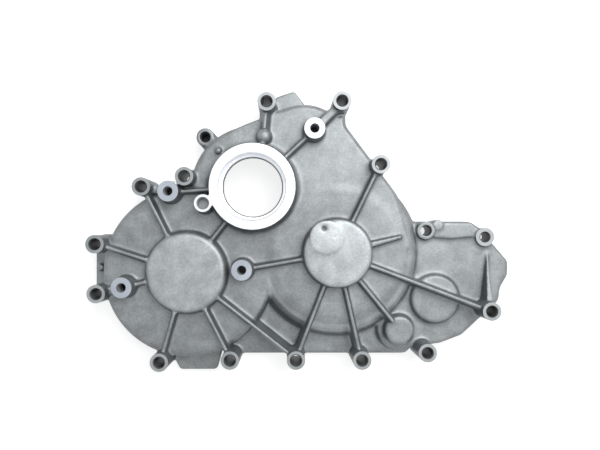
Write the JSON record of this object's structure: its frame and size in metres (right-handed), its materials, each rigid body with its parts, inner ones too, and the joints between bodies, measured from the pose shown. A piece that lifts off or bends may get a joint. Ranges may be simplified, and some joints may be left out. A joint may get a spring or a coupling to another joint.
{
  "type": "gear case cover",
  "caption": "Die cast aluminium outer cover for a reduction gear case: open back, ribbed domes over the shaft ends, a machined shaft seal ring and bolt bosses.",
  "frame": {"origin": "middle of the casting's footprint, on the mating face", "axes": "+Z out of the mating face towards the outside; +X along the casting's length, from the large dome to the oil pump region; +Y towards the two top bolts"},
  "size_m": [0.3627, 0.246, 0.044],
  "materials": {
    "cast_aluminium": "as cast, with machined ring, boss and joint faces"
  },
  "bodies": {
    "root": {"cover_casting": "cast_aluminium"}
  },
  "joints": []
}
